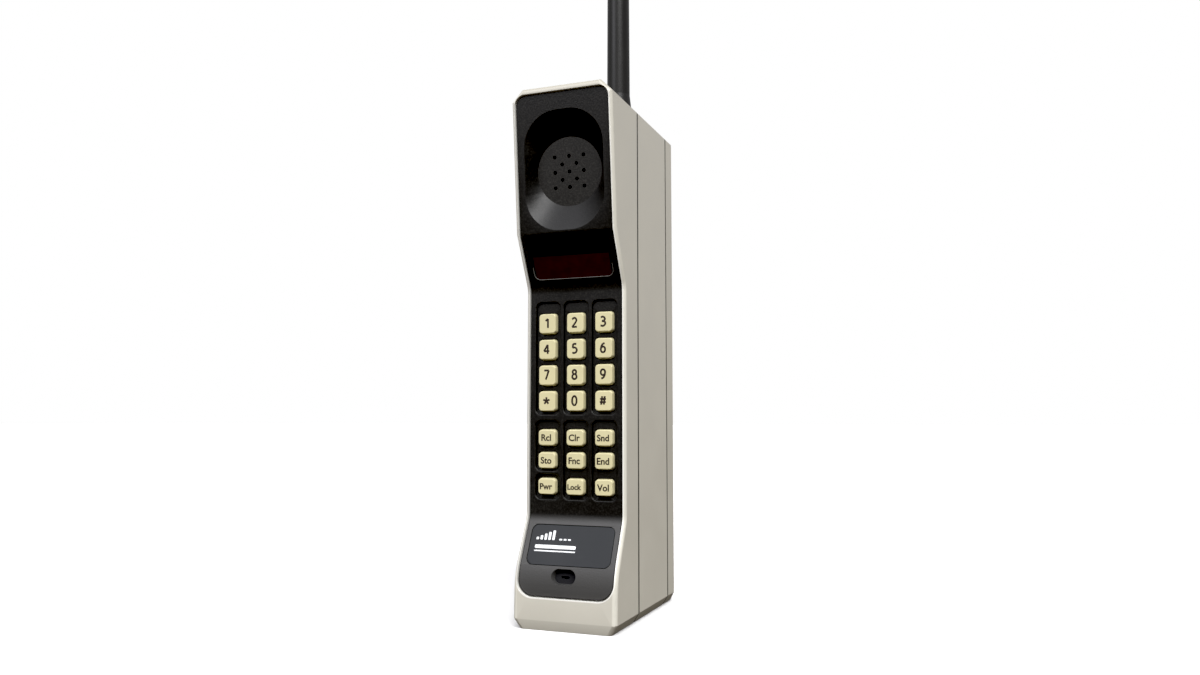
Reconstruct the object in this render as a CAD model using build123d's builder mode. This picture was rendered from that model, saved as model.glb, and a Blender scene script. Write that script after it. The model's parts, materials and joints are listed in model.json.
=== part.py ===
from build123d import *
import math
import os

# Early mobile brick phone, in millimetres. It stands on its base, its front faces -Y,
# and the origin is the middle of its base.

os.makedirs("parts", exist_ok=True)

# Overall size
BODY_W = 44.5
BODY_D = 88.9
BODY_H = 220.0
OVERALL_H = 330.0
SIDE = BODY_W / 2
FRONT = -BODY_D / 2
BACK = BODY_D / 2

# Corners of the body seen from the side, as (y, z), from the top front edge down
TOP_EDGE = (FRONT, BODY_H)
BROW = (FRONT + 5.7, 159.9)
KEYPAD_Y = FRONT + 16.75
KEYPAD_TOP = (KEYPAD_Y, 138.0)
KEYPAD_FOOT = (KEYPAD_Y, 43.4)
CHIN = (FRONT + 6.0, 21.4)
TOE = (FRONT + 5.6, 4.0)
TOE_UNDER = (FRONT + 6.6, 0.0)
BASE_BEVEL_IN = 2.5
BASE_BEVEL_UP = 4.0
VALLEY_R = 8.0
CHIN_R = 30.0
TOP_BACK_R = 12.0
TOP_BEVEL = 4.9
REAR_BEVEL = 5.5
RIM_R = 2.0

# Where the three shells meet, and their walls
SEAM_Y = FRONT + 32.7
SEAM_GAP = 1.0
SEAM_BEVEL = 0.15
SEAM_LIP = 0.5
SEAL_IN = 0.12
SEAL_W = 1.6
PACK_SEAM_Y = FRONT + 73.1
PACK_GAP = 0.45
PACK_BEVEL = 0.4
SIDE_WALL = 2.0
FRONT_WALL = 3.2
PACK_WALL = 1.8
IN_X = SIDE - SIDE_WALL
FLOOR_Z = FRONT_WALL
CEILING_Z = BODY_H - FRONT_WALL

# Black front panel
PANEL_HALF_W = 20.4
PANEL_Z = (13.0, 217.0)
PANEL_TOP_R = 4.0
PANEL_FOOT_R = 6.5
PANEL_GAP = 0.45
PANEL_INSET = 1.0
PANEL_BACK = 2.4
PANEL_LEDGE = 1.2

# Earpiece
DISH_Z = 185.3
DISH_W = 35.0
DISH_H = 49.5
DISH_R = 15.0
DISH_DEPTH = 6.3
DISH_WALL = 1.4
DISC_D = 28.8
DISC_T = 1.2
DISC_GAP = 0.05
DISC_LEDGE_D = 25.4
LEDGE_T = 1.0
HOLE_D = 1.6
HOLE_PITCH = 6.45
HOLE_ROWS = (3, 2, 3, 2, 3)
GASKET_T = 1.0
GASKET_BORE_D = 20.0
RECEIVER_D = 27.0
RECEIVER_T = 7.5
MAGNET_D = 16.0
MAGNET_T = 3.0

# Display
WINDOW_HALF_W = 17.9
WINDOW_Z = (141.4, 158.9)
WINDOW_FOOT_R = 3.0
WINDOW_TOP_R = 1.0
LENS_GAP = 0.15
LENS_T = 1.5
LENS_INSET = 1.2
FRAME_LEDGE = 1.1
FRAME_T = 1.2
FRAME_WIDER = 0.8
HOOD_W = 34.6
HOOD_T = 4.0
HOOD_WALL = 1.0
DIGIT_COUNT = 8
DIGIT_PITCH = 3.4
DIGIT_R = 1.5
MODULE_H = 7.0
MODULE_T = 2.6
MODULE_EDGE = 0.6
BOARD_T = 1.2

# Keypad: three columns, four rows of numbers and three rows of functions
COLUMN_PITCH = 12.64
NUMBER_ROWS = (
    (123.5, ("key_1", "key_2", "key_3")),
    (112.6, ("key_4", "key_5", "key_6")),
    (101.8, ("key_7", "key_8", "key_9")),
    (91.0, ("key_star", "key_0", "key_hash")),
)
FUNCTION_ROWS = (
    (75.9, ("key_recall", "key_clear", "key_send")),
    (66.5, ("key_store", "key_function", "key_end")),
    (55.8, ("key_power", "key_lock", "key_volume")),
)
NUMBER_KEY = (8.0, 8.6)
FUNCTION_KEY = (8.1, 6.9)
KEY_R = 1.6
KEY_TAPER = 10.0
KEY_EDGE_R = 0.4
KEY_GAP = 0.25
KEY_TOP_Y = FRONT + 17.0
KEY_TRAVEL = 0.8
FLANGE_WIDER = 1.5
FLANGE_TALLER = 0.9
FLANGE_T = 0.7
FLANGE_GAP = 0.15
STEM_D = 3.4
STEM_L = 0.9
TROUGH_W = 10.9
TROUGH_R = 2.4
TROUGH_RIM_R = 0.55
NUMBER_TROUGH_Z = (85.5, 132.5)
FUNCTION_TROUGH_Z = (50.6, 82.8)
SPLIT_TROUGHS_Z = ((50.6, 60.8), (62.2, 82.9))
TROUGH_FLOOR_Y = FRONT + 18.8
WELL_BACK_Y = FRONT + 20.6
WELL_HALF_W = 19.0
WELL_Z = (48.5, 134.5)
WELL_RIB = 0.9
MAT_HALF_W = 18.0
MAT_Z = (49.5, 133.5)
MAT_Y = FRONT + 22.5
MAT_T = 0.8
MAT_HOLE_D = 4.4
KEYPAD_BOARD_Y = MAT_Y + MAT_T

# Label plate and mouthpiece on the lower slope
LABEL_W = 36.0
LABEL_H = 16.7
LABEL_Z = 33.2
LABEL_R = 2.6
LABEL_T = 0.6
LABEL_POCKET = 1.75
LABEL_GAP = 0.3
MIC_X = -1.0
MIC_Z = 21.1
MIC_TILT = 13.6
MIC_SINK = 1.45
MIC_SEAT_D = 13.4
MIC_SEAT_BACK = 2.8
MIC_SLOT = (10.7, 6.4)
MIC_SLOT_TAPER = 17.0
MIC_D = 9.6
MIC_T = 4.5
MIC_HOLE_D = 1.6
BOOT_D = 13.0
BOOT_LIP_T = 0.8
BOOT_SLOT = (3.6, 1.0)

# Screw posts, at (+-x, z)
POST_X = 16.6
POST_Z = (10.5, 207.0)
POST_D = 6.4
FRONT_POST_Y = FRONT + 22.0
REAR_POST_BACK_Y = FRONT + 67.7
SCREW_D = 2.8
SCREW_HOLE_D = 2.9
HEAD_D = 5.0
HEAD_HOLE_D = 5.3
HEAD_T = 2.4
HEAD_RECESS = 3.0
SCREW_SHORT = 2.0
DRIVER_SLOT = (3.6, 0.7, 0.9)

# Boards inside the rear shell
LOGIC_Y = FRONT + 36.0
RF_Y = FRONT + 52.0
INNER_BOARD_T = 1.6
INNER_BOARD_HALF_W = 18.9
INNER_BOARD_Z = (16.0, 200.0)
LEDGE_X = 18.0
LEDGE_D = 2.0
LEDGE_Z = (30.0, 190.0)
SHIELD_Z = (66.0, 148.0)
SHIELD_HALF_W = 16.0
SHIELD_D = 8.0
SHIELD_T = 0.5
DUPLEXER_Z = (152.0, 184.0)
DUPLEXER_D = 11.0
RESONATOR_D = 6.0
RESONATOR_PITCH = 10.0
RESONATOR_OUT = 1.6
SINK_Z = (24.0, 60.0)
SINK_BASE = 2.0
SINK_D = 10.0
FIN_T = 1.2
FIN_PITCH = 4.0
FIN_COUNT = 8
CHIP_Z = (40.0, 66.0, 92.0, 118.0)
CHIP_X = 8.5
CHIP_SIZE = (15.0, 2.6, 7.0)
RINGER_D = 22.0
RINGER_T = 4.0
RINGER_Z = 176.0
RINGER_HOLE_D = 4.0
RINGER_HOLE_DEPTH = 1.5

# Antenna
ANTENNA = (11.4, FRONT + 39.0)
WHIP_D = 10.0
WHIP_TIP_D = 9.2
WHIP_FOOT_D = 11.4
WHIP_FOOT_Z = 226.0
WHIP_TIP_R = 3.6
STUD_D = 5.0
STUD_Z = (210.5, 232.0)
STUD_COLLAR_D = 7.6
STUD_COLLAR_T = 1.2
FIT_GAP = 0.02
SOCKET_D = 8.4
SOCKET_FLANGE_D = 10.4
SOCKET_FLANGE_T = 1.4
SOCKET_FOOT_Z = 211.6

# Base connector
CONNECTOR_Y = FRONT + 50.0
CONNECTOR = (17.0, 7.0)
CONNECTOR_H = 8.0
CONNECTOR_GAP = 0.05
CONNECTOR_UP = 0.8
CONNECTOR_LIP = 1.1
CONNECTOR_MOUTH = 3.6
PIN_COUNT = 7
PIN_PITCH = 1.9
PIN_D = 0.8
PIN_L = 2.8

# Back plate and the dovetail the battery pack slides up on
PLATE_Y = FRONT + 68.0
PLATE_T = 1.5
CHANNEL_Y = PLATE_Y + PLATE_T
CHANNEL_MOUTH = 15.6
CHANNEL_ROOT = 17.2
KEEL_GAP = 0.3
CONTACT_BLOCK_HALF_W = 12.0
CONTACT_BLOCK_H = 3.4
CONTACT_X = (-8.0, 0.0, 8.0)
CONTACT_W = 4.0
CONTACT_D = 2.0
CONTACT_SPRING_T = 0.4
CONTACT_SPRING_UP = 0.9

# Battery pack
KEEL_Y = CHANNEL_Y + KEEL_GAP
KEEL_Z = FLOOR_Z + CONTACT_BLOCK_H + 1.2
KEEL_WALL = 1.2
KEEL_FLOOR = 2.0
KEEL_IN_X = 14.3
TRAY_Y = PACK_SEAM_Y + PACK_GAP
TRAY_T = 1.6
CELL_D = 14.2
CELL_L = 49.2
CELL_ROWS = 3
CELL_Z = 28.0
CELL_X = 7.3
CELL_NUB_D = 5.2
CELL_NUB_H = 1.0
STRAP_T = 0.4
STRAP_D = 12.0
STRAP_W = 5.0
PAD_SIZE = (4.0, 2.0, 0.5)

# Latch on the pack's back
LATCH_TRAVEL = 4.0
LATCH_WINDOW = (14.0, 12.0)
LATCH_WINDOW_Z = 196.0
LATCH_GRIP = (13.2, 7.2)
LATCH_PLATE_W = 18.0
LATCH_PLATE_T = 1.4
LATCH_GAP = 0.3
LATCH_RIB_COUNT = 3
LATCH_RIB_PITCH = 2.0
LATCH_RIB_OUT = 0.5
LATCH_OVERLAP = 1.0
LATCH_SLACK = 0.4
GUIDE_LIP = 1.3
GUIDE_T = 1.2
GUIDE_D = 3.4
SHELF_Z = 180.6
SHELF_T = 1.0
SPRING_R = 1.3
SPRING_WIRE_R = 0.22
SPRING_TURNS = 5
SPRING_END_GAP = 0.05

TINY = 0.01


# Outlines of the body, shrunk evenly by an inset
def side_outline(inset=0.0):
    """The body seen from the side."""
    back_foot = (BACK - BASE_BEVEL_IN, 0.0)
    back_low = (BACK, BASE_BEVEL_UP)
    back_top = (BACK, BODY_H)
    corners = (TOP_EDGE, BROW, KEYPAD_TOP, KEYPAD_FOOT, CHIN, TOE, TOE_UNDER)
    bends = (
        (KEYPAD_TOP, VALLEY_R),
        (KEYPAD_FOOT, VALLEY_R),
        (CHIN, CHIN_R),
        (back_top, TOP_BACK_R),
    )
    with BuildSketch(Plane.YZ) as outline:
        with BuildLine():
            Polyline(*corners, back_foot, back_low, back_top, close=True)
        make_face()
        for corner, radius in bends:
            fillet(outline.vertices().sort_by_distance((*corner, 0))[0], radius)
        if inset:
            offset(amount=-inset, kind=Kind.INTERSECTION)
    return outline.sketch


def front_outline(inset=0.0):
    """The body seen from the front."""
    half = (
        (SIDE - BASE_BEVEL_IN, 0.0),
        (SIDE, BASE_BEVEL_UP),
        (SIDE, BODY_H - TOP_BEVEL),
        (SIDE - TOP_BEVEL, BODY_H),
    )
    other = tuple((-x, z) for x, z in reversed(half))
    with BuildSketch(Plane.XZ) as outline:
        with BuildLine():
            Polyline(*half, *other, close=True)
        make_face()
        if inset:
            offset(amount=-inset, kind=Kind.INTERSECTION)
    return outline.sketch


def plan_outline(inset=0.0):
    """The body seen from above."""
    with BuildSketch(Plane.XY) as outline:
        Rectangle(BODY_W, BODY_D)
        chamfer(outline.vertices().group_by(Axis.Y)[-1], REAR_BEVEL)
        if inset:
            offset(amount=-inset, kind=Kind.INTERSECTION)
    return outline.sketch


def body_block(wall=0.0, front_wall=0.0):
    """The body's outer shape, shrunk by a wall at the sides and another in side view."""
    with BuildPart() as block:
        extrude(side_outline(front_wall), amount=SIDE, both=True)
        extrude(front_outline(wall), amount=BODY_D, both=True, mode=Mode.INTERSECT)
        extrude(plan_outline(wall), amount=BODY_H, both=True, mode=Mode.INTERSECT)
    return block.part


def box_between(low, high, mode=Mode.ADD):
    """A box given by two opposite corners."""
    size = [b - a for a, b in zip(low, high)]
    middle = tuple((a + b) / 2 for a, b in zip(low, high))
    with Locations(middle):
        Box(*size, mode=mode)


def at_y(y):
    """A plane across the body at y, looking to the front, with local y up."""
    return Plane.XZ.offset(-y)


def facing(top, foot, height):
    """A plane on the straight front stretch from top to foot, centred at a height."""
    part_way = (top[1] - height) / (top[1] - foot[1])
    y = top[0] + part_way * (foot[0] - top[0])
    outward = (0, foot[1] - top[1], top[0] - foot[0])
    return Plane(origin=(0, y, height), x_dir=(1, 0, 0), z_dir=outward)


def panel_outline(grow=0.0):
    """The front panel seen from the front."""
    low, high = PANEL_Z
    with BuildSketch(Plane.XZ) as outline:
        with Locations((0, (low + high) / 2)):
            Rectangle(2 * PANEL_HALF_W, high - low)
        rows = outline.vertices().group_by(Axis.Y)
        fillet(rows[-1], PANEL_TOP_R)
        fillet(outline.vertices().group_by(Axis.Y)[0], PANEL_FOOT_R)
        if grow:
            offset(amount=grow)
    return outline.sketch


def front_layer(near, far, outline):
    """What lies between two depths below the front face, inside an outline."""
    with BuildPart() as layer:
        extrude(side_outline(near), amount=SIDE, both=True)
        extrude(side_outline(far), amount=SIDE, both=True, mode=Mode.SUBTRACT)
        extrude(outline, amount=BODY_D / 2, mode=Mode.INTERSECT)
    return layer.part


def on_circle(point, radius):
    """A point moved straight out or in to a circle round the middle."""
    reach = math.hypot(*point)
    return point[0] * radius / reach, point[1] * radius / reach


def dish_loft(grow, depth):
    """The earpiece funnel, from its rounded mouth down to a round floor, grown by a wall."""
    half_w = DISH_W / 2 + grow
    half_h = DISH_H / 2 + grow
    corner_r = DISH_R + grow
    floor_r = DISC_D / 2 + grow
    knee = corner_r * (1 - math.sqrt(0.5))
    corner = (
        (half_w, half_h - corner_r),
        (half_w - knee, half_h - knee),
        (half_w - corner_r, half_h),
    )
    turns = []
    for side, end in ((1, 1), (-1, 1), (-1, -1), (1, -1)):
        points = [(side * x, end * y) for x, y in corner]
        turns.append(points if side == end else points[::-1])
    plane = facing(TOP_EDGE, BROW, DISH_Z).offset(-PANEL_INSET)
    with BuildPart() as funnel:
        with BuildSketch(plane):
            with BuildLine():
                for turn, following in zip(turns, turns[1:] + turns[:1]):
                    ThreePointArc(*turn)
                    Line(turn[2], following[0])
            make_face()
        with BuildSketch(plane.offset(-depth)):
            with BuildLine():
                for turn, following in zip(turns, turns[1:] + turns[:1]):
                    between = [sum(pair) / 2 for pair in zip(turn[2], following[0])]
                    for points in (turn, (turn[2], between, following[0])):
                        ThreePointArc(*[on_circle(p, floor_r) for p in points])
            make_face()
        loft()
    return funnel.part


def window_face(plane, shrink):
    """The display window, drawn on the slope below the brow."""
    low, high = WINDOW_Z
    lean = plane.y_dir.Z
    tall = (high - low) / lean - 2 * shrink
    with BuildSketch(plane) as face:
        Rectangle(2 * (WINDOW_HALF_W - shrink), tall)
        fillet(face.vertices().group_by(Axis.Y)[0], WINDOW_FOOT_R - shrink)
        fillet(face.vertices().group_by(Axis.Y)[-1], WINDOW_TOP_R)
    return face.sketch


def dovetail(gap, low, high):
    """The pack's sliding keel, or with no gap the channel it slides in."""
    with BuildPart() as keel:
        with BuildSketch(Plane.XY.offset(low)):
            with BuildLine():
                mouth = CHANNEL_MOUTH - gap
                root = CHANNEL_ROOT - gap
                Polyline(
                    (-mouth, TRAY_Y),
                    (mouth, TRAY_Y),
                    (root, CHANNEL_Y + gap),
                    (-root, CHANNEL_Y + gap),
                    close=True,
                )
            make_face()
        extrude(amount=high - low)
    return keel.part


def column_x(column):
    """Middle of a keypad column, counted from the left."""
    return (column - 1) * COLUMN_PITCH


def trough_places():
    """(x, middle z, height) of each sunken strip of keys."""
    spans = [(column, NUMBER_TROUGH_Z) for column in range(3)]
    spans += [(0, span) for span in SPLIT_TROUGHS_Z]
    spans += [(column, FUNCTION_TROUGH_Z) for column in (1, 2)]
    return [(column_x(c), (low + high) / 2, high - low) for c, (low, high) in spans]


def key_places():
    """(label, x, z, (width, height)) of each key."""
    places = []
    for rows, size in ((NUMBER_ROWS, NUMBER_KEY), (FUNCTION_ROWS, FUNCTION_KEY)):
        for z, names in rows:
            places += [(n, column_x(c), z, size) for c, n in enumerate(names)]
    return places


def post_places():
    """(x, z) of each screw post."""
    return [(side * POST_X, z) for side in (-1, 1) for z in POST_Z]


def post_webs(front_y, back_y):
    """Webs that join the screw posts to the side walls."""
    for x, z in post_places():
        near, far = sorted((x, math.copysign(IN_X, x)))
        box_between((near, front_y, z - POST_D / 4), (far, back_y, z + POST_D / 4))


def key_cap(x, z, size):
    """One key: cap, retaining flange and the stem that works its switch."""
    width, height = size
    flange_y = WELL_BACK_Y + FLANGE_GAP
    with BuildPart() as key:
        with BuildSketch(at_y(flange_y)):
            with Locations((x, z)):
                RectangleRounded(width, height, KEY_R)
        extrude(amount=flange_y - TROUGH_FLOOR_Y)
        extrude(
            key.faces().sort_by(Axis.Y)[0], amount=TROUGH_FLOOR_Y - KEY_TOP_Y, taper=KEY_TAPER
        )
        fillet(key.faces().sort_by(Axis.Y)[0].edges(), KEY_EDGE_R)
        with BuildSketch(at_y(flange_y)):
            with Locations((x, z)):
                RectangleRounded(width + FLANGE_WIDER, height + FLANGE_TALLER, KEY_R)
        extrude(amount=-FLANGE_T)
        with BuildSketch(at_y(flange_y + FLANGE_T)):
            with Locations((x, z)):
                Circle(STEM_D / 2)
        extrude(amount=-STEM_L)
    return key.part


def save(part, label):
    """Labels a finished sub-part and writes its file."""
    part.label = label
    export_step(part, f"parts/{label}.step")



hollow = body_block(SIDE_WALL, FRONT_WALL)

# Front shell
seam_front_y = SEAM_Y - SEAM_GAP / 2
front_post_l = seam_front_y - FRONT_POST_Y
with BuildPart() as front_housing:
    add(body_block())
    faces = [
        f
        for f in front_housing.faces()
        if f.normal_at().Y < -0.5 and f.center().Y < KEYPAD_Y + TINY
    ]
    edges = [e for f in faces for e in f.edges()]
    rim = [
        e
        for e in edges
        if sum(e.is_same(other) for other in edges) == 1 and e.center().Z > TINY
    ]
    fillet(rim, RIM_R)
    box_between((-SIDE, seam_front_y, 0), (SIDE, BACK, BODY_H), Mode.SUBTRACT)
    chamfer(front_housing.faces().sort_by(Axis.Y)[-1].edges(), SEAM_BEVEL)
    add(hollow, mode=Mode.SUBTRACT)
    add(front_layer(0, PANEL_BACK, panel_outline(PANEL_GAP)), mode=Mode.SUBTRACT)
    extrude(
        panel_outline(PANEL_GAP - PANEL_LEDGE), amount=BODY_D / 2, mode=Mode.SUBTRACT
    )
    post_webs(FRONT_POST_Y, seam_front_y)
    with BuildSketch(at_y(seam_front_y)):
        with Locations(*post_places()):
            Circle(POST_D / 2)
    extrude(amount=front_post_l)
    with BuildSketch(at_y(seam_front_y)):
        with Locations(*post_places()):
            Circle(SCREW_D / 2 + FIT_GAP)
    extrude(amount=front_post_l, mode=Mode.SUBTRACT)
save(front_housing.part, "front_housing")

# Rear shell, open at the back behind the back plate
seam_rear_y = SEAM_Y + SEAM_GAP / 2
rear_post_l = REAR_POST_BACK_Y - seam_rear_y
with BuildPart() as rear_housing:
    add(body_block())
    box_between(
        (-SIDE, seam_rear_y, 0), (SIDE, PACK_SEAM_Y, BODY_H), Mode.INTERSECT
    )
    chamfer(rear_housing.faces().sort_by(Axis.Y)[0].edges(), SEAM_LIP)
    chamfer(rear_housing.faces().sort_by(Axis.Y)[-1].edges(), PACK_BEVEL)
    add(hollow, mode=Mode.SUBTRACT)
    add(dovetail(0, CEILING_Z - TINY, BODY_H + TINY), mode=Mode.SUBTRACT)
    for board_y in (LOGIC_Y, RF_Y):
        ledge_y = board_y + INNER_BOARD_T
        for x in (-IN_X, LEDGE_X):
            box_between(
                (x, ledge_y, LEDGE_Z[0]),
                (x + IN_X - LEDGE_X, ledge_y + LEDGE_D, LEDGE_Z[1]),
            )
    post_webs(seam_rear_y, REAR_POST_BACK_Y)
    with BuildSketch(at_y(seam_rear_y)):
        with Locations(*post_places()):
            Circle(POST_D / 2)
    extrude(amount=-rear_post_l)
    with BuildSketch(at_y(seam_rear_y)):
        with Locations(*post_places()):
            Circle(SCREW_HOLE_D / 2)
    extrude(amount=-rear_post_l, mode=Mode.SUBTRACT)
    with BuildSketch(at_y(REAR_POST_BACK_Y)):
        with Locations(*post_places()):
            Circle(HEAD_HOLE_D / 2)
    extrude(amount=HEAD_RECESS, mode=Mode.SUBTRACT)
    with BuildSketch(Plane.XY.offset(BODY_H)):
        with Locations(ANTENNA):
            Circle(SOCKET_D / 2 + FIT_GAP)
    extrude(amount=-FRONT_WALL, mode=Mode.SUBTRACT)
    with BuildSketch(Plane.XY):
        with Locations((0, CONNECTOR_Y)):
            Rectangle(CONNECTOR[0] + 2 * CONNECTOR_GAP, CONNECTOR[1] + 2 * CONNECTOR_GAP)
    extrude(amount=FRONT_WALL, mode=Mode.SUBTRACT)
save(rear_housing.part, "rear_housing")

# Dust seal in the groove between the shells
with BuildPart() as seam_gasket:
    extrude(
        Pos(0, seam_rear_y, 0) * (front_outline(SEAL_IN) - front_outline(SEAL_IN + SEAL_W)),
        amount=SEAM_GAP,
    )
save(seam_gasket.part, "seam_gasket")

# Screws that hold the shells together
with BuildPart() as case_screws:
    head_y = REAR_POST_BACK_Y - HEAD_RECESS
    for x, z in post_places():
        with BuildSketch(at_y(head_y)):
            with Locations((x, z)):
                Circle(SCREW_D / 2)
        extrude(amount=head_y - FRONT_POST_Y - SCREW_SHORT)
        with BuildSketch(at_y(head_y)):
            with Locations((x, z)):
                Circle(HEAD_D / 2)
        extrude(amount=-HEAD_T)
        with BuildSketch(at_y(head_y + HEAD_T)):
            with Locations((x, z)):
                Rectangle(DRIVER_SLOT[0], DRIVER_SLOT[1])
                Rectangle(DRIVER_SLOT[1], DRIVER_SLOT[0])
        extrude(amount=DRIVER_SLOT[2], mode=Mode.SUBTRACT)
save(case_screws.part, "case_screws")

# Black front panel: earpiece funnel, display frame, key wells, label pocket, mouthpiece
dish_plane = facing(TOP_EDGE, BROW, DISH_Z).offset(-PANEL_INSET)
window_plane = facing(BROW, KEYPAD_TOP, sum(WINDOW_Z) / 2)
label_plane = facing(KEYPAD_FOOT, CHIN, LABEL_Z)
mic_tilt = math.radians(MIC_TILT)
mic_plane = Plane(
    origin=(MIC_X, CHIN[0] + MIC_SINK, MIC_Z),
    x_dir=(1, 0, 0),
    z_dir=(0, -math.cos(mic_tilt), math.sin(mic_tilt)),
)
panel_face_y = KEYPAD_Y + PANEL_INSET
frame_back = PANEL_BACK + FRAME_T
with BuildPart() as front_panel:
    add(dish_loft(DISH_WALL, DISH_DEPTH + DISC_T + LEDGE_T))
    extrude(window_face(window_plane, -FRAME_WIDER), amount=-frame_back)
    box_between(
        (-WELL_HALF_W, panel_face_y, WELL_Z[0]), (WELL_HALF_W, WELL_BACK_Y, WELL_Z[1])
    )
    for x in (-WELL_HALF_W, WELL_HALF_W - WELL_RIB):
        box_between(
            (x, WELL_BACK_Y, WELL_Z[0]), (x + WELL_RIB, KEYPAD_BOARD_Y, WELL_Z[1])
        )
    with BuildSketch(mic_plane):
        Circle(MIC_SEAT_D / 2)
    extrude(amount=-MIC_SEAT_BACK)
    extrude(side_outline(PANEL_INSET), amount=SIDE, both=True, mode=Mode.INTERSECT)
    add(front_layer(PANEL_INSET, PANEL_BACK, panel_outline()))
    add(dish_loft(0, DISH_DEPTH), mode=Mode.SUBTRACT)
    with BuildSketch(dish_plane.offset(-DISH_DEPTH)):
        Circle(DISC_D / 2 + DISC_GAP)
    extrude(amount=-DISC_T, mode=Mode.SUBTRACT)
    with BuildSketch(dish_plane.offset(-DISH_DEPTH)):
        Circle(DISC_LEDGE_D / 2)
    extrude(amount=-DISC_T - LEDGE_T, mode=Mode.SUBTRACT)
    extrude(window_face(window_plane, 0), amount=-LENS_INSET - LENS_T, mode=Mode.SUBTRACT)
    extrude(window_face(window_plane, FRAME_LEDGE), amount=-frame_back, mode=Mode.SUBTRACT)
    with BuildSketch(at_y(KEYPAD_Y)):
        for x, z, height in trough_places():
            with Locations((x, z)):
                RectangleRounded(TROUGH_W, height, TROUGH_R)
    extrude(amount=KEYPAD_Y - TROUGH_FLOOR_Y, mode=Mode.SUBTRACT)
    lips = [
        e
        for e in front_panel.edges().filter_by_position(
            Axis.Y, panel_face_y - TINY, panel_face_y + TINY
        )
        if abs(e.center().X) < WELL_HALF_W - WELL_RIB
        and WELL_Z[0] < e.center().Z < WELL_Z[1]
    ]
    fillet(lips, TROUGH_RIM_R)
    with BuildSketch(at_y(KEYPAD_Y)):
        for label, x, z, (width, height) in key_places():
            with Locations((x, z)):
                RectangleRounded(width + 2 * KEY_GAP, height + 2 * KEY_GAP, KEY_R + KEY_GAP)
    extrude(amount=KEYPAD_Y - WELL_BACK_Y, mode=Mode.SUBTRACT)
    with BuildSketch(label_plane):
        RectangleRounded(LABEL_W + 2 * LABEL_GAP, LABEL_H + 2 * LABEL_GAP, LABEL_R + LABEL_GAP)
    extrude(amount=-LABEL_POCKET, mode=Mode.SUBTRACT)
    with BuildSketch(mic_plane):
        SlotOverall(*MIC_SLOT)
    extrude(amount=-MIC_SEAT_BACK, taper=MIC_SLOT_TAPER, mode=Mode.SUBTRACT)
save(front_panel.part, "front_panel")

# Earpiece: perforated disc, foam ring and receiver capsule
with BuildPart() as earpiece_grille:
    with BuildSketch(dish_plane.offset(-DISH_DEPTH)):
        Circle(DISC_D / 2)
        for row, count in enumerate(HOLE_ROWS):
            up = (row - (len(HOLE_ROWS) - 1) / 2) * HOLE_PITCH / 2
            with Locations((0, up)):
                with GridLocations(HOLE_PITCH, 0, count, 1):
                    Circle(HOLE_D / 2, mode=Mode.SUBTRACT)
    extrude(amount=-DISC_T)
save(earpiece_grille.part, "earpiece_grille")

gasket_plane = dish_plane.offset(-DISH_DEPTH - DISC_T - LEDGE_T)
with BuildPart() as receiver_gasket:
    with BuildSketch(gasket_plane):
        Circle(RECEIVER_D / 2)
        Circle(GASKET_BORE_D / 2, mode=Mode.SUBTRACT)
    extrude(amount=-GASKET_T)
save(receiver_gasket.part, "receiver_gasket")

with BuildPart() as earpiece_receiver:
    with BuildSketch(gasket_plane.offset(-GASKET_T)):
        Circle(RECEIVER_D / 2)
    extrude(amount=-RECEIVER_T)
    with BuildSketch(gasket_plane.offset(-GASKET_T - RECEIVER_T)):
        Circle(MAGNET_D / 2)
    extrude(amount=-MAGNET_T)
save(earpiece_receiver.part, "earpiece_receiver")

# Display: lens, hood, lamp module and its board
with BuildPart() as display_lens:
    extrude(window_face(window_plane.offset(-LENS_INSET), LENS_GAP), amount=-LENS_T)
save(display_lens.part, "display_lens")

hood_plane = window_plane.offset(-frame_back)
window_h = (WINDOW_Z[1] - WINDOW_Z[0]) / window_plane.y_dir.Z
with BuildPart() as display_hood:
    with BuildSketch(hood_plane):
        Rectangle(HOOD_W, window_h)
        Rectangle(HOOD_W - 2 * HOOD_WALL, window_h - 2 * HOOD_WALL, mode=Mode.SUBTRACT)
    extrude(amount=-HOOD_T)
    with BuildSketch(hood_plane):
        with Locations((0, window_h / 4)):
            Rectangle(HOOD_W, window_h / 2)
    extrude(amount=-HOOD_WALL)
save(display_hood.part, "display_hood")

display_board_plane = hood_plane.offset(-HOOD_T)
with BuildPart() as display_board:
    with BuildSketch(display_board_plane):
        Rectangle(HOOD_W, window_h)
    extrude(amount=-BOARD_T)
save(display_board.part, "display_board")

module_plane = display_board_plane.shift_origin(
    display_board_plane.from_local_coords(Vector(0, -window_h / 4, 0))
)
with BuildPart() as display_module:
    with BuildSketch(module_plane):
        Rectangle(DIGIT_COUNT * DIGIT_PITCH, MODULE_H)
    extrude(amount=MODULE_T - DIGIT_R / 2)
    with BuildSketch(module_plane):
        with GridLocations(DIGIT_PITCH, 0, DIGIT_COUNT, 1):
            SlotOverall(MODULE_H - 2 * MODULE_EDGE, 2 * DIGIT_R, rotation=90)
    extrude(amount=MODULE_T)
    fillet(display_module.faces().sort_by(module_plane.location.z_axis)[-1].edges(), DIGIT_R / 3)
save(display_module.part, "display_module")

# Keys, the rubber mat behind them and the keypad board
for label, x, z, size in key_places():
    save(key_cap(x, z, size), label)

with BuildPart() as key_mat:
    box_between((-MAT_HALF_W, MAT_Y, MAT_Z[0]), (MAT_HALF_W, KEYPAD_BOARD_Y, MAT_Z[1]))
    with BuildSketch(at_y(MAT_Y)):
        for label, x, z, size in key_places():
            with Locations((x, z)):
                Circle(MAT_HOLE_D / 2)
    extrude(amount=-MAT_T, mode=Mode.SUBTRACT)
save(key_mat.part, "key_mat")

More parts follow.
